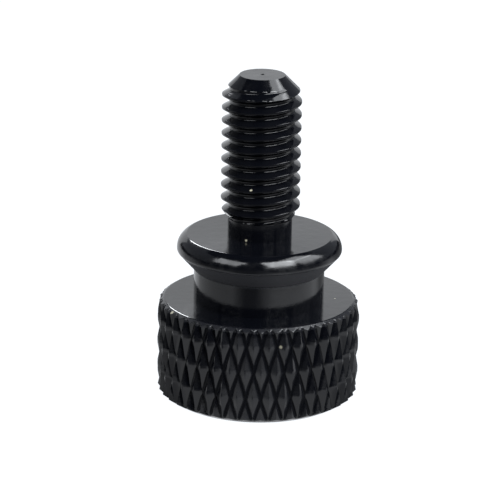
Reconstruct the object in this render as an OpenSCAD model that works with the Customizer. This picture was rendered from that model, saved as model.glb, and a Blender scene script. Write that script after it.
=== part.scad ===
// Collared thumb screw, turned from one bar of aluminium and anodised black.
// It stands on its knurled head, with its axis on Z and the threaded end up.
// The origin is the centre of the head's end face.

/* [Head] */
// Diameter over the knurl's points
head_d = 7.74; // [7.5:0.02:9]
// Height of the head, from its end face to its inner face
head_h = 3.8; // [3:0.05:8]
// Diameter of the flat end face, inside its chamfer
end_face_d = 6.88; // [5:0.02:7]
// Height of the chamfer round the end face
end_chamfer_h = 0.26; // [0.1:0.01:0.6]
// Diameter of the flat inner face, inside its chamfer
inner_face_d = 7.2; // [6:0.02:7.3]
// Height of the chamfer round the inner face
inner_chamfer_h = 0.18; // [0.05:0.01:0.6]

/* [Knurl] */
// Number of diamonds in one row round the head
knurl_count = 40; // [24:1:60]
// Depth of the V grooves, if they left sharp points
knurl_depth = 0.17; // [0.1:0.01:0.3]
// Height by which the points stay blunt
knurl_blunt = 0.03; // [0.01:0.005:0.06]
// Height of one diamond, from corner to corner
diamond_h = 2.05; // [1:0.05:4]
// Height of a row of points above the end face
knurl_lift = 1.01; // [0:0.005:1.1]
// Turn of that row about the axis, in degrees
knurl_turn = 6.5; // [0:0.1:9]

/* [Neck and collar] */
// Diameter of the neck between head and collar
neck_d = 4.97; // [3:0.01:5.8]
// Height of the neck, up to where the collar flares out
neck_h = 1.2; // [0.5:0.01:4]
// Widest diameter of the collar
collar_d = 6.27; // [6:0.01:7]
// Height of the collar, from the start of its flare to its seat
collar_h = 1.33; // [1.2:0.01:3]
// Diameter of the flat seat on top of the collar
seat_d = 5.52; // [5.2:0.01:5.8]
// Radius of the collar's rolled rim
rim_r = 0.58; // [0.45:0.01:0.7]
// Slope of the flared underside, in degrees from the axis
flare_angle = 42; // [35:1:60]

/* [Shank and thread] */
// Length of the plain shank, from the seat to the thread's run-out
shank_h = 0.7; // [0.3:0.01:4]
// Depth of the shank below the root of the thread
shank_relief = 0.007; // [0.005:0.001:0.1]
// Diameter over the thread's crests
thread_d = 3; // [2.5:0.01:3.5]
// Pitch of the right-hand thread
thread_pitch = 0.5; // [0.35:0.05:0.6]
// Length of the threaded end, from its run-out to the tip
thread_h = 5.52; // [2:0.01:20]
// Slope of the thread's run-out, in degrees from the axis
runout_angle = 37; // [25:1:60]
// Turn of the thread about the axis, in degrees
thread_turn = -29; // [-180:1:180]
// Facets in one turn of the thread
thread_steps = 48; // [32:4:56]

/* [Tip] */
// Diameter of the flat tip, inside its chamfer
tip_d = 1.72; // [1:0.01:2]
// Slope of the tip's chamfer, in degrees from the axis
tip_angle = 45; // [30:1:60]
// Diameter of the lathe's centre mark in the tip
mark_d = 0.16; // [0.05:0.01:0.4]

/* [Hidden] */
$fn = 96;
// How far each length of the screw reaches into the next one
joint = 0.3;
// How far the turned outlines pass outside the rim, the crests and the tip that they cut
over = 0.05;

head_r = head_d / 2;
neck_r = neck_d / 2;
collar_r = collar_d / 2;
crest_r = thread_d / 2;
// Basic metric profile: the root lies 5/8 of a sharp 60 degree V below the crest
root_r = crest_r - 5 / 8 * thread_pitch * sin(60);
shank_r = root_r - shank_relief;
mark_r = mark_d / 2;

// Heights above the end face
flare_z = head_h + neck_h;
seat_z = flare_z + collar_h;
thread_z = seat_z + shank_h;
tip_z = thread_z + thread_h;

// Centre of the rim's round, which its flat seat cuts off below the top
rim_centre_r = collar_r - rim_r;
rim_z = seat_z - sqrt(pow(rim_r, 2) - pow(seat_d / 2 - rim_centre_r, 2));

function point_at(radius, angle, z) = [radius * cos(angle), radius * sin(angle), z];
function fan(centre, loop) =
    [for (i = [0 : len(loop) - 1]) [centre, loop[i], loop[(i + 1) % len(loop)]]];

// Bar whose skin is a grid of points, listed row by row from the bottom. Each row goes once
// round the axis and meets the row that lies "lift" rows higher: 0 closes it as a ring.
// Neighbouring cells fold along opposite diagonals.
module grid_bar(points, columns, lift = 0) {
    last = len(points) / columns - 1;
    function at(row, column) =
        column < columns ? row * columns + column : (row + lift) * columns;
    skin = [
        for (row = [0 : last - 1], column = [0 : columns - 1])
            if (column < columns - 1 || row + lift < last)
                let (
                    a = at(row, column),
                    b = at(row, column + 1),
                    c = at(row + 1, column + 1),
                    d = at(row + 1, column)
                )
                each (row + column) % 2 == 0 ? [[a, d, b], [b, d, c]] : [[a, d, c], [a, c, b]],
    ];
    foot = [
        for (column = [0 : columns - 1]) at(0, column),
        for (row = [lift : -1 : 1]) at(row, 0),
    ];
    top = [
        for (row = [lift : -1 : 1]) at(last - row, columns - 1),
        for (column = [columns - 1 : -1 : 0]) at(last, column),
    ];
    low = len(points);
    ends = [[0, 0, points[0].z], [0, 0, points[low - 1].z]];
    polyhedron(concat(points, ends), concat(skin, fan(low, foot), fan(low + 1, top)));
}

// Points and groove crossings take turns round each row and up each column, so that the
// grooves of both hands run along the diagonals of the grid
module knurled_bar() {
    columns = 2 * knurl_count;
    row_h = diamond_h / 2;
    sharp_r = head_r + knurl_blunt;
    rows = [floor(-knurl_lift / row_h) - 1 : ceil((head_h - knurl_lift) / row_h) + 1];
    grid_bar([
        for (row = rows, column = [0 : columns - 1])
            let (sunk = abs(row + column) % 2 * knurl_depth)
            point_at(
                sharp_r - sunk,
                knurl_turn + column * 360 / columns,
                knurl_lift + row * row_h
            ),
    ], columns);
}

// Right-hand thread, from a pitch below its run-out to a pitch past the tip
module threaded_bar() {
    profile = [
        [root_r, -3 / 8],
        [crest_r, -1 / 16],
        [crest_r, 1 / 16],
        [root_r, 3 / 8],
    ];
    turns = [floor(thread_z / thread_pitch) - 2 : ceil(tip_z / thread_pitch) + 1];
    grid_bar([
        for (turn = turns, corner = profile, step = [0 : thread_steps - 1])
            point_at(
                corner[0],
                thread_turn + step * 360 / thread_steps,
                (turn + step / thread_steps + corner[1]) * thread_pitch
            ),
    ], thread_steps, len(profile));
}

// The blank has one flat for each column of the knurl, so that a whole flat cuts each point blunt
module head() {
    half_flat = 90 / knurl_count;
    side_r = head_r / cos(half_flat);
    intersection() {
        knurled_bar();
        rotate(knurl_turn + half_flat)
            rotate_extrude($fn = 2 * knurl_count)
                polygon([
                    [0, 0],
                    [end_face_d / 2, 0],
                    [side_r, end_chamfer_h],
                    [side_r, head_h - inner_chamfer_h],
                    [inner_face_d / 2, head_h],
                    [0, head_h],
                ]);
    }
}

module neck_and_collar() {
    outer = collar_r + over;
    rotate_extrude() {
        translate([0, head_h - joint])
            square([neck_r, neck_h + 2 * joint]);
        intersection() {
            polygon([
                [0, flare_z],
                [neck_r, flare_z],
                [outer, flare_z + (outer - neck_r) / tan(flare_angle)],
                [outer, seat_z],
                [0, seat_z],
            ]);
            union() {
                translate([0, flare_z - joint])
                    square([rim_centre_r, collar_h + joint]);
                translate([rim_centre_r, rim_z])
                    circle(rim_r);
            }
        }
    }
}

module shank_and_thread() {
    outer = crest_r + over;
    translate([0, 0, seat_z - joint])
        cylinder(r = shank_r, h = shank_h + 2 * joint);
    difference() {
        intersection() {
            threaded_bar();
            rotate_extrude()
                polygon([
                    [0, thread_z - joint],
                    [shank_r - joint * tan(runout_angle), thread_z - joint],
                    [outer, thread_z + (outer - shank_r) / tan(runout_angle)],
                    [outer, tip_z - (outer - tip_d / 2) / tan(tip_angle)],
                    [tip_d / 2, tip_z],
                    [0, tip_z],
                ]);
        }
        translate([0, 0, tip_z - mark_r])
            cylinder(r1 = 0, r2 = mark_r + over, h = mark_r + over);
    }
}

module thumb_screw()
    color("#26282b") {
        head();
        neck_and_collar();
        shank_and_thread();
    }

thumb_screw();
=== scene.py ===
import math

import bpy
import numpy as np
from mathutils import Matrix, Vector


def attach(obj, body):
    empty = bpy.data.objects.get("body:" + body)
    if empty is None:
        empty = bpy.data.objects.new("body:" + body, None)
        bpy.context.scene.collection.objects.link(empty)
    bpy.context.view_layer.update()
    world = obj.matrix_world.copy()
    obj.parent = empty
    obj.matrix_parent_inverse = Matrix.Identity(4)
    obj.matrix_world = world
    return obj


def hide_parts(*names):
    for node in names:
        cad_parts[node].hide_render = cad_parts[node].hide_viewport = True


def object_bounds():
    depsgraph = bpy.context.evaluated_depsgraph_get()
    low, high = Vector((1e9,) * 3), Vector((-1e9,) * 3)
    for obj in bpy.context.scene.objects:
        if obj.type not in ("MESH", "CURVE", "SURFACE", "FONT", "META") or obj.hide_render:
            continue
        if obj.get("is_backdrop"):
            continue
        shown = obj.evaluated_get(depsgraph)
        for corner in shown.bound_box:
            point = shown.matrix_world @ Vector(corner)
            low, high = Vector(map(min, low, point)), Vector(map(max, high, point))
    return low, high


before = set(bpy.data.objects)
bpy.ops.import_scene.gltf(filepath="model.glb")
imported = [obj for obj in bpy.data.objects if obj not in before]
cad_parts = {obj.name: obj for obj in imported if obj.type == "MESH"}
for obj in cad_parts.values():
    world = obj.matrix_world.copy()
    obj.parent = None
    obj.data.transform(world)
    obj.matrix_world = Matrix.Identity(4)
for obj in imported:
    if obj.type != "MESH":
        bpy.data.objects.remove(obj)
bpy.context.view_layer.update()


# Light table
# The screw stands on a small table of white acrylic that glows from below. The camera sees
# it plain white, and the screw mirrors it with the shades of what stands round it.
# Lengths are in millimetres throughout, and times MM they are in metres.
MM = 0.001
# The table lies a hair below the screw, so that no two faces share a plane.
TABLE_HALF, TABLE_DROP = 420, 0.004
# The glow that the camera sees is a little over 1, to make up for the share of plain acrylic.
SEEN_GLOW, ACRYLIC_SHARE = 1.1, 0.04


def linear(hex_colour, alpha=1.0):
    """sRGB hex colour as linear values: below 0.04045 a share of 12.92, above it a power of 2.4."""
    values = [int(hex_colour[i : i + 2], 16) / 255 for i in (1, 3, 5)]
    return (*(v / 12.92 if v <= 0.04045 else ((v + 0.055) / 1.055) ** 2.4 for v in values), alpha)


def add_node(tree, kind, inputs=None, **settings):
    """Adds a node, sets its settings, and gives each named input a value or a link."""
    made = tree.nodes.new(kind)
    for name, value in settings.items():
        setattr(made, name, value)
    for name, value in (inputs or {}).items():
        if isinstance(value, bpy.types.NodeSocket):
            tree.links.new(value, made.inputs[name])
        else:
            made.inputs[name].default_value = value
    return made


def calculate(tree, operation, first, *others):
    """Result of an operation on one number or link, or on several of them from left to right."""
    if not others:
        return add_node(tree, "ShaderNodeMath", {0: first}, operation=operation).outputs["Value"]
    for other in others:
        inputs = {0: first, 1: other}
        first = add_node(tree, "ShaderNodeMath", inputs, operation=operation).outputs["Value"]
    return first


def ramp(tree, value, start, end, first, last):
    """Goes smoothly from first to last as the value goes from start to end."""
    inputs = {"Value": value, "From Min": start, "From Max": end, "To Min": first, "To Max": last}
    made = add_node(tree, "ShaderNodeMapRange", inputs, interpolation_type="SMOOTHSTEP")
    return made.outputs["Result"]


def new_material(name):
    """An empty material with its tree and its output node."""
    material = bpy.data.materials.new(name)
    material.use_nodes = True
    material.node_tree.nodes.clear()
    output = add_node(material.node_tree, "ShaderNodeOutputMaterial")
    return material, material.node_tree, output


def mesh_object(name, points, faces, material):
    """A mesh of points in millimetres and of faces with equal numbers of corners."""
    corners = faces.shape[1]
    mesh = bpy.data.meshes.new(name)
    mesh.vertices.add(len(points))
    mesh.vertices.foreach_set("co", (points * MM).astype(np.float32).ravel())
    mesh.loops.add(faces.size)
    mesh.loops.foreach_set("vertex_index", faces.astype(np.int32).ravel())
    mesh.polygons.add(len(faces))
    mesh.polygons.foreach_set("loop_start", np.arange(0, faces.size, corners, dtype=np.int32))
    mesh.polygons.foreach_set("use_smooth", np.ones(len(faces), bool))
    mesh.update(calc_edges=True)
    mesh.validate()
    # Edges that turn by more than this stay sharp to the eye.
    mesh.set_sharp_from_angle(angle=math.radians(38))
    mesh.materials.append(material)
    made = bpy.data.objects.new(name, mesh)
    bpy.context.scene.collection.objects.link(made)
    return made


def grid_faces(rows, columns):
    """Four-cornered faces of a grid of points that is listed row by row."""
    row, column = np.meshgrid(np.arange(rows - 1), np.arange(columns - 1), indexing="ij")
    first = (row * columns + column).ravel()
    return np.stack([first, first + 1, first + columns + 1, first + columns], axis=1)


# A spot's azimuth is 0 towards the camera and 90 on the right, in degrees, and its distance
# from the screw's axis is in millimetres.
table_material, tree, output = new_material("white_acrylic_light_table")
spot = add_node(tree, "ShaderNodeTexCoord").outputs["Object"]
spot_x, spot_y, _ = add_node(tree, "ShaderNodeSeparateXYZ", {0: spot}).outputs
forward = calculate(tree, "MULTIPLY", spot_y, -1.0)
azimuth = calculate(tree, "DEGREES", calculate(tree, "ARCTAN2", spot_x, forward))
off_front = calculate(tree, "ABSOLUTE", azimuth)
away = add_node(tree, "ShaderNodeVectorMath", {0: spot}, operation="LENGTH").outputs["Value"]
away = calculate(tree, "DIVIDE", away, MM)

# The camera's own shade lies a little left of the front.
off_shade = calculate(tree, "ABSOLUTE", calculate(tree, "ADD", azimuth, 14.0))
camera_shade = ramp(tree, off_shade, 5, 48, 0.95, 0)
camera_shade = calculate(tree, "MULTIPLY", camera_shade, ramp(tree, away, 6, 11, 0, 1))
# The left side is dimmer than the right one, but the right-hand corner behind is dark.
side_shade = ramp(tree, azimuth, -60, 20, 0.4, 0.05)
side_shade = calculate(tree, "MINIMUM", side_shade, ramp(tree, azimuth, -130, -100, 0.15, 1))
side_shade = calculate(tree, "MAXIMUM", side_shade, ramp(tree, azimuth, 100, 130, 0, 0.85))
side_shade = calculate(tree, "MULTIPLY", side_shade, ramp(tree, away, 8, 13, 0, 1))
# The lit part of the table ends soon, but for the part behind the screw.
end_shade = ramp(tree, off_front, 80, 120, 0.96, 0)
end_shade = calculate(tree, "MULTIPLY", end_shade, ramp(tree, away, 17, 23, 0, 1))
# Close to the head the glow is weaker, most of all on either side of it.
off_side = calculate(tree, "ABSOLUTE", calculate(tree, "SUBTRACT", off_front, 66.0))
head_shade = ramp(tree, off_side, 12, 28, 0.6, 0.2)
head_shade = calculate(tree, "MULTIPLY", head_shade, ramp(tree, away, 7, 11, 1, 0))

loss = calculate(tree, "MAXIMUM", camera_shade, side_shade, end_shade, head_shade)
seen = add_node(tree, "ShaderNodeLightPath").outputs["Is Camera Ray"]
seen_glow = calculate(tree, "MULTIPLY", seen, SEEN_GLOW)
glow = calculate(tree, "MAXIMUM", calculate(tree, "SUBTRACT", 1.0, loss), seen_glow)
inputs = {"Color": linear("#f8fbff"), "Strength": glow}
table_glow = add_node(tree, "ShaderNodeEmission", inputs).outputs[0]
acrylic = add_node(tree, "ShaderNodeBsdfDiffuse", {"Color": linear("#f2f2f2")}).outputs[0]
table_mix = add_node(tree, "ShaderNodeMixShader", {0: ACRYLIC_SHARE, 1: table_glow, 2: acrylic})
tree.links.new(table_mix.outputs[0], output.inputs["Surface"])
table_side = np.linspace(-TABLE_HALF, TABLE_HALF, 5)
table_x, table_y = np.meshgrid(table_side, table_side)
table_z = np.full(table_x.size, -TABLE_DROP)
table_points = np.stack([table_x.ravel(), table_y.ravel(), table_z], 1)
table = mesh_object("light_table", table_points, grid_faces(5, 5), table_material)
table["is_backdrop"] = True


# Paper and tent
# Pale paper stands all round, far off. A tent of black cloth keeps it from the polished
# faces, but for a low opening behind the screw and grey panels at both sides of it.
TENT_R = 170
PAPER_SIDES, PAPER_TOP = (155, 215), 24
GREY_SIDES, GREY_HEIGHTS = (75, 285), (10, 50)


def direction(azimuth, elevation):
    """Unit vector from the screw at an azimuth and an elevation in degrees: sine and minus cosine
    of the azimuth times cosine of the elevation, and sine of the elevation."""
    a, e = np.broadcast_arrays(np.radians(azimuth), np.radians(elevation))
    return np.stack([np.sin(a) * np.cos(e), -np.cos(a) * np.cos(e), np.sin(e)], axis=-1)


world = bpy.data.worlds.new("pale_paper")
world.use_nodes = True
world.node_tree.nodes["Background"].inputs["Color"].default_value = linear("#f8fbff")
world.node_tree.nodes["Background"].inputs["Strength"].default_value = 0.9
bpy.context.scene.world = world

tent_azimuth, tent_elevation = np.arange(0, 361, 5.0), np.arange(-2, 91, 2.0)
tent_a, tent_e = np.meshgrid(tent_azimuth, tent_elevation)
tent_points = TENT_R * direction(tent_a.ravel(), tent_e.ravel())
tent_faces = grid_faces(len(tent_elevation), len(tent_azimuth))
middle_a = tent_a.ravel()[tent_faces].mean(1)
middle_e = tent_e.ravel()[tent_faces].mean(1)
paper = (middle_a > PAPER_SIDES[0]) & (middle_a < PAPER_SIDES[1]) & (middle_e < PAPER_TOP)
grey = (middle_a > GREY_SIDES[0]) & (middle_a < GREY_SIDES[1])
grey &= (middle_e > GREY_HEIGHTS[0]) & (middle_e < GREY_HEIGHTS[1])
for name, cloth_colour, share in (
    ("black_tent", "#121213", ~paper & ~grey),
    ("grey_panels", "#8e9094", grey & ~paper),
):
    cloth_material, tree, output = new_material(name)
    cloth = add_node(tree, "ShaderNodeBsdfDiffuse", {"Color": linear(cloth_colour)})
    tree.links.new(cloth.outputs[0], output.inputs["Surface"])
    panels = mesh_object(name, tent_points, tent_faces[share], cloth_material)
    panels.visible_camera = False
    panels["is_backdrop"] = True


# Lamps
# Five softboxes stand inside the tent and face the screw. Two light the knurl and give the
# rim its highlights, one brightens the right side and one the tip's cone, and one behind
# the screw draws a line along the front edges of seat and head.
LAMP_DISTANCE = 150


def lamp(name, azimuth, elevation, width, height, radiance):
    """A softbox that faces the screw. Its power is its radiance x pi x its area."""
    data = bpy.data.lights.new(name, "AREA")
    data.shape = "RECTANGLE"
    data.size, data.size_y = width * MM, height * MM
    data.energy = radiance * math.pi * data.size * data.size_y
    data.color = linear("#f8fbff")[:3]
    made = bpy.data.objects.new(name, data)
    outward = direction(azimuth, elevation)
    aside = direction(azimuth + 90, 0)
    axes = np.stack([aside, np.cross(outward, aside), outward, outward * LAMP_DISTANCE * MM], 1)
    made.matrix_world = Matrix(axes.tolist() + [[0, 0, 0, 1]])
    made.visible_camera = False
    bpy.context.scene.collection.objects.link(made)


lamp("softbox_left", -50, 42, width=92, height=80, radiance=5)
lamp("softbox_right", 34, 45, width=94, height=96, radiance=11)
lamp("softbox_side", 84, 41, width=100, height=84, radiance=5)
lamp("top_lamp", 84, 61, width=90, height=44, radiance=4.5)
lamp("back_lamp", 194, 34, width=40, height=30, radiance=22)


# Camera
# A long lens near the screw, 18 degrees above it and turned by a degree. Its place and its
# angle were fitted to the edges of the photograph.
CAMERA_ELEVATION, CAMERA_ROLL = math.radians(18.21), math.radians(0.941)
CAMERA_DISTANCE = 104.9
AIM_X, AIM_Z = -0.358, 5.664
camera_data = bpy.data.cameras.new("camera")
camera_data.sensor_width = 36
camera_data.lens = 198.8
camera_data.clip_start, camera_data.clip_end = 0.005, 5
camera = bpy.data.objects.new("camera", camera_data)
level = np.array([1.0, 0.0, 0.0])
upright = np.array([0.0, math.sin(CAMERA_ELEVATION), math.cos(CAMERA_ELEVATION)])
camera_x = level * math.cos(CAMERA_ROLL) + upright * math.sin(CAMERA_ROLL)
camera_y = upright * math.cos(CAMERA_ROLL) - level * math.sin(CAMERA_ROLL)
camera_z = np.cross(camera_x, camera_y)
camera_place = (np.array([AIM_X, 0, AIM_Z]) + camera_z * CAMERA_DISTANCE) * MM
camera_axes = np.stack([camera_x, camera_y, camera_z, camera_place], 1)
camera.matrix_world = Matrix(camera_axes.tolist() + [[0, 0, 0, 1]])
bpy.context.scene.collection.objects.link(camera)
bpy.context.scene.camera = camera
bpy.context.scene.view_settings.view_transform = "Standard"


# Finish
# Black anodised aluminium: an oxide layer of about 0.01 mm, dyed black and sealed. The
# layer is clear glassy alumina that drinks up the light inside it, so that the eye sees
# only the mirror image on its surface, which is faint head-on and bright at a low angle.
OXIDE_IOR = 1.5
# The second, paler black is matt finish on flare and chamfer, and painted sheen on the knurl's
# front.
BLACK, MATT_AND_SHEEN_BLACK, DUST_COLOUR = "#06070b", "#2a2b30", "#a39f8b"
# The tool leaves a fine spiral, a ring for each turn of the bar. The rings are 0.05 mm
# apart here, twice as coarse as the real feed, so that they show at all.
RING_SIZE, RING_DEPTH = 0.05, 0.0006
# The bar's crystals show after the anodising as a faint grain.
GRAIN_SIZE, GRAIN_DEPTH = 0.35, 0.006
# The turned faces are polished. The tool left the flare below the collar and the chamfer
# that cuts the tops of the knurl matt, and the rim is worn. The knurl's front, towards the
# camera, is rougher and painted paler: painted sheen that softens its dark grooves.
POLISH_ROUGHNESS, RIM_ROUGHNESS = (0.08, 0.14), (0.13, 0.26)
FLARE_ROUGHNESS, CHAMFER_ROUGHNESS, FRONT_ROUGHNESS = 0.75, 0.3, 0.24
# Shares of the paler black there: matt on the chamfer, painted sheen on the knurl's front.
# The flare has it whole.
CHAMFER_PALE, FRONT_SHEEN_PALE = 0.2, 0.1
# Heights at which such a place sets in, is full, begins to end, and has ended.
FLARE_HEIGHTS = 4.9, 5.1, 5.6, 5.78
CHAMFER_HEIGHTS = 3.6, 3.64, 3.78, 3.795
RIM_HEIGHTS = 5.5, 5.7, 6.1, 6.25
# Two chips and three grains of dust, where the photograph shows them: place and radius.
GRAINS = [
    (-0.35, -1.38, 8.43, 0.08),
    (-0.51, -1.11, 6.4, 0.06),
    (0.81, -3.73, 3.11, 0.12),
    (-3.27, -1.8, 3.76, 0.1),
    (2.91, -0.08, 3.8, 0.04),
]


def zone(value, start, full, hold, end):
    """1 from full to hold, and smoothly down to 0 at start and at end."""
    rise, fall = ramp(tree, value, start, full, 0, 1), ramp(tree, value, hold, end, 1, 0)
    return calculate(tree, "MULTIPLY", rise, fall)


def noise(place, size, detail):
    """Cloudy values about 0.5 whose lumps have a size in millimetres."""
    inputs = {"Vector": place, "Scale": 1 / size, "Detail": detail, "Roughness": 0.6}
    return add_node(tree, "ShaderNodeTexNoise", inputs).outputs[0]


def mix_colours(factor, first, last):
    """A colour that goes from first to last as the factor goes from 0 to 1."""
    inputs = {"Factor": factor, "A": first, "B": last}
    return add_node(tree, "ShaderNodeMix", inputs, data_type="RGBA").outputs["Result"]


anodised, tree, output = new_material("black_anodised_aluminium")
coords = add_node(tree, "ShaderNodeTexCoord").outputs["Object"]
inputs = {0: coords, "Scale": 1 / MM}
place = add_node(tree, "ShaderNodeVectorMath", inputs, operation="SCALE").outputs["Vector"]
across, deep, high = add_node(tree, "ShaderNodeSeparateXYZ", {0: place}).outputs
level_place = add_node(tree, "ShaderNodeCombineXYZ", {0: across, 1: deep}).outputs[0]
radius = add_node(tree, "ShaderNodeVectorMath", {0: level_place}, operation="LENGTH")
radius = radius.outputs["Value"]

section = add_node(tree, "ShaderNodeCombineXYZ", {0: radius, 2: high}).outputs[0]
rings = noise(section, RING_SIZE, 2.0)
grain = noise(place, GRAIN_SIZE, 4.0)
inputs = {"Strength": 1.0, "Distance": RING_DEPTH * MM, "Height": rings}
ring_bump = add_node(tree, "ShaderNodeBump", inputs).outputs[0]
inputs = {"Strength": 1.0, "Distance": GRAIN_DEPTH * MM, "Height": grain, "Normal": ring_bump}
grain_bump = add_node(tree, "ShaderNodeBump", inputs).outputs[0]

flare = zone(high, *FLARE_HEIGHTS)
# The neck passes through the chamfer's heights too, but it has a smaller radius.
chamfer = zone(high, *CHAMFER_HEIGHTS)
chamfer = calculate(tree, "MULTIPLY", chamfer, ramp(tree, radius, 3.5, 3.6, 0, 1))
worn_rim = zone(high, *RIM_HEIGHTS)
worn_rim = calculate(tree, "MULTIPLY", worn_rim, ramp(tree, grain, 0.35, 0.65, *RIM_ROUGHNESS))
# The knurl's front, towards the camera, is painted paler and made rougher within 0.6 to
# 1.9 mm of its middle, up to the chamfer: painted sheen that softens its dark grooves.
front_sheen = ramp(tree, calculate(tree, "ABSOLUTE", across), 0.6, 1.9, 1, 0)
front_sheen = calculate(
    tree, "MULTIPLY", front_sheen, ramp(tree, deep, -3.4, -3, 1, 0), ramp(tree, high, 3.4, 3.6, 1, 0)
)
roughness = calculate(
    tree,
    "MAXIMUM",
    ramp(tree, grain, 0.3, 0.7, *POLISH_ROUGHNESS),
    worn_rim,
    calculate(tree, "MULTIPLY", chamfer, CHAMFER_ROUGHNESS),
    calculate(tree, "MULTIPLY", front_sheen, FRONT_ROUGHNESS),
    calculate(tree, "MULTIPLY", flare, FLARE_ROUGHNESS),
)
# The paler black carries the matt places and, on the knurl's front, painted sheen.
pale = calculate(
    tree,
    "MAXIMUM",
    flare,
    calculate(tree, "MULTIPLY", front_sheen, FRONT_SHEEN_PALE),
    calculate(tree, "MULTIPLY", chamfer, CHAMFER_PALE),
)
dust = 0.0
for *middle, size in GRAINS:
    off_middle = add_node(tree, "ShaderNodeVectorMath", {0: place, 1: middle}, operation="DISTANCE")
    off_middle = off_middle.outputs["Value"]
    dust = calculate(tree, "MAXIMUM", dust, ramp(tree, off_middle, 0.5 * size, size, 1, 0))
colour = mix_colours(pale, linear(BLACK), linear(MATT_AND_SHEEN_BLACK))
colour = mix_colours(dust, colour, linear(DUST_COLOUR))

# The rings smear a highlight up and down, so the shine is stretched across them.
inputs = {0: (0, 0, 1), 1: place}
around_axis = add_node(tree, "ShaderNodeVectorMath", inputs, operation="CROSS_PRODUCT").outputs[0]
inputs = {
    "Base Color": colour,
    "Metallic": 0.0,
    "Roughness": roughness,
    "IOR": OXIDE_IOR,
    "Normal": grain_bump,
    "Tangent": around_axis,
    "Anisotropic": 0.7,
    "Anisotropic Rotation": 0.25,
}
surface = add_node(tree, "ShaderNodeBsdfPrincipled", inputs)
tree.links.new(surface.outputs[0], output.inputs["Surface"])


# Head
# A knurled grip: two wheels press crossing sets of slanted V grooves into the turned bar,
# which leave rows of low four-sided points between them. Both ends of the head are
# chamfered after the knurl is made. The end face lies below, the inner face above.
HEAD_R, HEAD_H = 3.87, 3.8
END_FACE_R, END_CHAMFER_H = 3.44, 0.26
INNER_FACE_R, INNER_CHAMFER_H = 3.6, 0.18
KNURL_COUNT = 40
DIAMOND_H, KNURL_LIFT, KNURL_TURN = 2.05, 1.01, 6.5
# Fall below the points at shares of a groove's width: slow on the facets of a point, and
# steep in the groove itself.
GROOVE_SHARES, GROOVE_FALLS = [0, 0.125, 0.75, 1], [0, 0.004, 0.129, 0.209]
# The wheels wander, so three waves of this height make the knurl deeper here and there.
WANDER = 0.004
# Grid strips to half a diamond: the shading turns within one strip, as the real edges do.
STRIPS = 8
HEAD_COLUMNS = 2 * KNURL_COUNT * STRIPS
# Rows in a chamfer, and the least gap between them and the rows of the knurl.
CHAMFER_ROWS, ROW_GAP = 10, 0.02
# Rings of the inner face lie this far inside its edge.
INNER_RINGS = [0.03, 0.3]
# The screw is one piece of metal, so its skin is one closed mesh. Each region of the skin
# goes round the axis, and regions meet on rings that they share.
skin = []


def ring(radius, angle, z):
    """Points on circles about the axis: radius x cosine, radius x sine, height."""
    radius, angle, z = np.broadcast_arrays(radius, angle, z)
    return np.stack([radius * np.cos(angle), radius * np.sin(angle), z], axis=-1)


def add_tube(points, lift=0, rising=True):
    """Skins a grid of points whose rows go round the axis. A row's last point meets the first
    one of the row that is lift rows higher. A square is cut from its first to its third corner
    where rising, and from its second to its fourth elsewhere."""
    rows, columns = points.shape[:2]
    row, column = np.meshgrid(np.arange(rows - 1), np.arange(columns), indexing="ij")
    last = column == columns - 1
    next_row = np.where(last, row + lift, row)
    kept = next_row + 1 < rows
    a = row * columns + column
    b = next_row * columns + np.where(last, 0, column + 1)
    c, d = b + columns, a + columns
    rising = np.broadcast_to(rising, a.shape)[..., None]
    first = np.where(rising, np.stack([a, b, c], -1), np.stack([a, b, d], -1))
    second = np.where(rising, np.stack([a, c, d], -1), np.stack([b, c, d], -1))
    skin.append((points.reshape(-1, 3), np.concatenate([first[kept], second[kept]])))


def add_cap(edge, middle, upward):
    """Closes a ring of points with a triangle from each of its sides to a point in its middle."""
    corner = np.arange(len(edge))
    sides = np.stack([corner, np.roll(corner, -1)], 1)
    sides = sides if upward else sides[:, ::-1]
    faces = np.concatenate([sides, np.full((len(edge), 1), len(edge))], 1)
    skin.append((np.concatenate([edge, [middle]]), faces))


def knurl_radius(angle, z):
    """Head radius less the fall from the point towards the nearer of two slanted grooves. A
    groove's share runs from 1 in its middle to 0 halfway to the next one. The wander takes
    off three waves, and is never below 0."""
    across = (angle - math.radians(KNURL_TURN)) * KNURL_COUNT / math.tau
    along = (z - KNURL_LIFT) / DIAMOND_H
    shares = [1 - np.abs(((across + way * along) % 1) * 2 - 1) for way in (1, -1)]
    fall = np.interp(np.maximum(*shares), GROOVE_SHARES, GROOVE_FALLS)
    waves = np.sin(23 * angle + 3.1 * z) + np.sin(31 * angle - 4.3 * z) + np.sin(9 * angle + 6 * z)
    return HEAD_R - fall - WANDER * (3 + waves)


# Rows are close together in the chamfers and a strip apart between them.
strip_h = DIAMOND_H / 2 / STRIPS
knurl_rows = KNURL_LIFT + np.arange(-2 * STRIPS, 4 * STRIPS) * strip_h
low_end, high_end = END_CHAMFER_H + ROW_GAP, HEAD_H - INNER_CHAMFER_H - ROW_GAP
head_rows = np.concatenate(
    [
        np.linspace(0, END_CHAMFER_H, CHAMFER_ROWS),
        knurl_rows[(knurl_rows > low_end) & (knurl_rows < high_end)],
        np.linspace(HEAD_H - INNER_CHAMFER_H, HEAD_H, CHAMFER_ROWS),
    ]
)[:, None]
head_angles = np.arange(HEAD_COLUMNS) * math.tau / HEAD_COLUMNS + math.radians(KNURL_TURN)
chamfered = np.minimum(
    END_FACE_R + head_rows * (HEAD_R - END_FACE_R) / END_CHAMFER_H,
    INNER_FACE_R + (HEAD_H - head_rows) * (HEAD_R - INNER_FACE_R) / INNER_CHAMFER_H,
)
head_radius = np.minimum(knurl_radius(head_angles, head_rows), chamfered)
head_grid = ring(head_radius, head_angles, head_rows)
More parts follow.
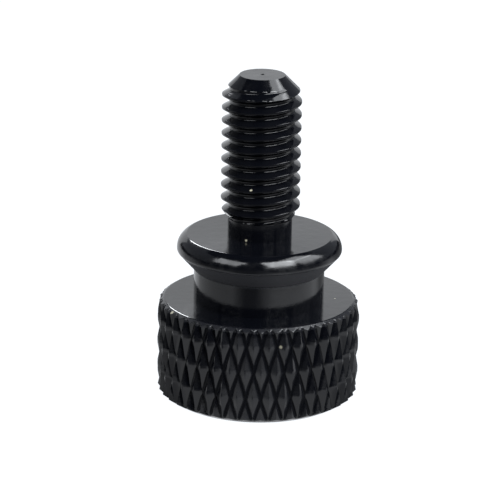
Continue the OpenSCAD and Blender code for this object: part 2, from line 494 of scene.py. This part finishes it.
# Squares fold along the grooves, which change hands with every half diamond.
half_diamond = np.floor((head_rows[:-1] + 1e-3 - KNURL_LIFT) / (DIAMOND_H / 2))
rising = (np.arange(HEAD_COLUMNS) // STRIPS + half_diamond) % 2 == 1
add_tube(head_grid, rising=rising)
add_cap(head_grid[0], [0.0, 0.0, 0.0], upward=False)
inner_radii = INNER_FACE_R - np.array(INNER_RINGS)
inner_grid = ring(inner_radii[:, None], head_angles, HEAD_H)
inner_grid = np.concatenate([head_grid[-1:], inner_grid])
add_tube(inner_grid)


# Neck and collar
# The neck leaves room for a panel's spring washer, and the collar above it flares out to a
# rolled rim with a flat seat. The plain shank on the seat is cut as deep as the thread.
# All three are turned and polished.
NECK_R, FLARE_Z = 2.485, 5.0
RIM_CENTRE_R, RIM_Z, RIM_R = 2.555, 5.7874, 0.58
FLARE_ANGLE, FLARE_ROUND = 42, 0.12
SEAT_Z, SEAT_R = 6.33, 2.76
SHANK_R, THREAD_Z = 1.2224, 7.03
# Turned edges are shaded as if rounded over this width on either side.
EDGE = 0.018
# The head's inner face has four outer points for each point of the neck.
BODY_COLUMNS = HEAD_COLUMNS // 4


def collar_section():
    """Section of the collar from flare to seat. A small round of radius FLARE_ROUND touches the
    flare's line and the rim's circle: its centre lies that far inside both."""
    slope = math.radians(FLARE_ANGLE)
    along = np.array([math.sin(slope), math.cos(slope)])
    inward = np.array([-math.cos(slope), math.sin(slope)])
    rim_centre = np.array([RIM_CENTRE_R, RIM_Z])
    start = np.array([NECK_R, FLARE_Z]) + inward * FLARE_ROUND
    off_rim = start - rim_centre
    half = off_rim @ along
    reach = -half + math.sqrt(half**2 - off_rim @ off_rim + (RIM_R - FLARE_ROUND) ** 2)
    centre = start + along * reach
    line_end = centre - inward * FLARE_ROUND
    join = math.atan2(*(centre - rim_centre)[::-1])
    turns = np.linspace(slope - math.pi / 2, join, 9)
    small = centre + FLARE_ROUND * np.stack([np.cos(turns), np.sin(turns)], 1)
    top = math.acos((SEAT_R - RIM_CENTRE_R) / RIM_R)
    turns = np.linspace(join, top - EDGE / RIM_R, 26)[1:]
    large = rim_centre + RIM_R * np.stack([np.cos(turns), np.sin(turns)], 1)
    line = np.array([NECK_R, FLARE_Z]) + along * np.array([EDGE, 0.3, 0.6])[:, None]
    line = line[line[:, 0] < line_end[0] - 0.05]
    return np.concatenate([line, small, large])


def add_quarter(outer, inner):
    """Joins a ring to one inside it that has a quarter of its points. Of four outer sides, two
    go to each end of an inner side, and one more triangle stands on the inner side."""
    j = np.arange(len(inner))
    wide = (4 * j[:, None] + np.arange(5)) % len(outer)
    narrow, narrow_next = len(outer) + j, len(outer) + np.roll(j, -1)
    ends = [narrow, narrow, narrow_next, narrow_next]
    faces = [np.stack([wide[:, k], wide[:, k + 1], ends[k]], 1) for k in range(4)]
    faces.append(np.stack([wide[:, 2], narrow_next, narrow], 1))
    skin.append((np.concatenate([outer, inner]), np.concatenate(faces)))


# Rings lie on each turned edge, close to it on either side, and here and there between.
body_section = np.concatenate(
    [
        [[NECK_R + 0.25, HEAD_H], [NECK_R + EDGE, HEAD_H], [NECK_R, HEAD_H]],
        [[NECK_R, HEAD_H + EDGE]],
        np.stack([np.full(5, NECK_R), np.linspace(HEAD_H + 0.2, FLARE_Z - EDGE, 5)], 1),
        [[NECK_R, FLARE_Z]],
        collar_section(),
        [[SEAT_R, SEAT_Z], [SEAT_R - EDGE, SEAT_Z], [SEAT_R - 0.2, SEAT_Z]],
        [[SHANK_R + 0.3, SEAT_Z], [SHANK_R + EDGE, SEAT_Z], [SHANK_R, SEAT_Z]],
        [[SHANK_R, SEAT_Z + EDGE], [SHANK_R, SEAT_Z + 0.3], [SHANK_R, THREAD_Z - EDGE]],
        [[SHANK_R, THREAD_Z]],
    ]
)
body_angles = np.arange(BODY_COLUMNS) * math.tau / BODY_COLUMNS + head_angles[0]
body_grid = ring(body_section[:, :1], body_angles, body_section[:, 1:])
add_tube(body_grid)
add_quarter(inner_grid[-1], body_grid[0])


# Thread and tip
# A right-hand M3 x 0.5 thread, cut with a single-point tool, that runs out on a cone above
# the plain shank. The tip is faced and chamfered, with the lathe's centre mark in it.
TIP_Z, TIP_R, TIP_ANGLE = 12.55, 0.86, 45
PITCH, CREST_R, THREAD_TURN = 0.5, 1.5, -29
ROOT_R = CREST_R - 5 / 8 * PITCH * math.sin(math.radians(60))
CREST_ROUND, ROOT_ROUND = 0.01, 0.04
RUNOUT_ANGLE = 37
MARK_R, MARK_DEPTH = 0.08, 0.08
# Shares of a turn at which the grid has rows: close together at the corners of the profile.
HALF_TURN = [0, 0.035, 0.055, 0.075, 0.1, 0.15, 0.21, 0.27, 0.32, 0.35, 0.375, 0.4, 0.45]
TURN_ROWS = np.array([*HALF_TURN, 0.5, *(1 - share for share in HALF_TURN[:0:-1])])


def softer(a, b, width):
    """The lesser of a and b, rounded over: less the square of their overlap over four widths,
    where the overlap is the width less the gap between a and b, and at least 0."""
    overlap = np.maximum(width - np.abs(a - b), 0)
    return np.minimum(a, b) - overlap**2 / (4 * width)


def thread_radius(turns):
    """Radius across the thread at a share of a turn from the crest: a flat crest, a flank that
    falls by 1.732 for each unit of height, and a flat root, with rounded corners."""
    share = np.abs((turns + 0.5) % 1 - 0.5)
    flank = CREST_R - (share - 1 / 16) * PITCH * math.tan(math.radians(60))
    return -softer(-softer(flank, CREST_R, CREST_ROUND), -ROOT_R, ROOT_ROUND)


# A row climbs by a pitch in going round the axis. Rows are flattened at both ends of the
# thread, and are cut back to the cones of the run-out and of the tip.
columns = np.arange(BODY_COLUMNS) / BODY_COLUMNS
first_column = (math.degrees(body_angles[0]) - THREAD_TURN) / 360
turn_count = np.arange(math.floor(THREAD_Z / PITCH) - 2, math.ceil(TIP_Z / PITCH) + 2)
turns = (turn_count[:, None] + TURN_ROWS).ravel()[:, None]
heights = np.clip((turns + columns + first_column) * PITCH, THREAD_Z, TIP_Z)
cones = np.minimum(
    SHANK_R + (heights - THREAD_Z) * math.tan(math.radians(RUNOUT_ANGLE)),
    TIP_R + (TIP_Z - heights) * math.tan(math.radians(TIP_ANGLE)),
)
crest_turns = heights / PITCH - columns - first_column
thread_grid = ring(np.minimum(thread_radius(crest_turns), cones), body_angles, heights)
add_tube(thread_grid, lift=len(TURN_ROWS))
tip_radii = np.array([TIP_R, TIP_R - EDGE, 0.5, MARK_R + EDGE, MARK_R])
tip_grid = ring(tip_radii[:, None], body_angles, TIP_Z)
add_tube(tip_grid)
add_cap(tip_grid[-1], [0.0, 0.0, TIP_Z - MARK_DEPTH], upward=True)


# Whole screw
# Head, collar and thread are turned from one bar, so that no joint shows between them: the
# regions of the skin are joined on the rings that they share.
SAME_PLACE = 1e-5


def weld(regions):
    """Joins regions in one mesh. Points that round to the same place become one, and triangles
    that lose a corner by it are dropped."""
    sizes = [len(points) for points, _ in regions]
    starts = np.cumsum([0, *sizes[:-1]])
    points = np.concatenate([points for points, _ in regions])
    faces = np.concatenate([faces + start for (_, faces), start in zip(regions, starts)])
    places = np.round(points / SAME_PLACE).astype(np.int64)
    _, first, number = np.unique(places, axis=0, return_index=True, return_inverse=True)
    faces = number.ravel()[faces]
    whole = (faces != np.roll(faces, -1, axis=1)).all(1)
    return points[first], faces[whole]


screw_points, screw_faces = weld(skin)
screw = mesh_object("screw", screw_points, screw_faces, anodised)
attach(screw, "root")
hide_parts("thumb_screw")

low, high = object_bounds()
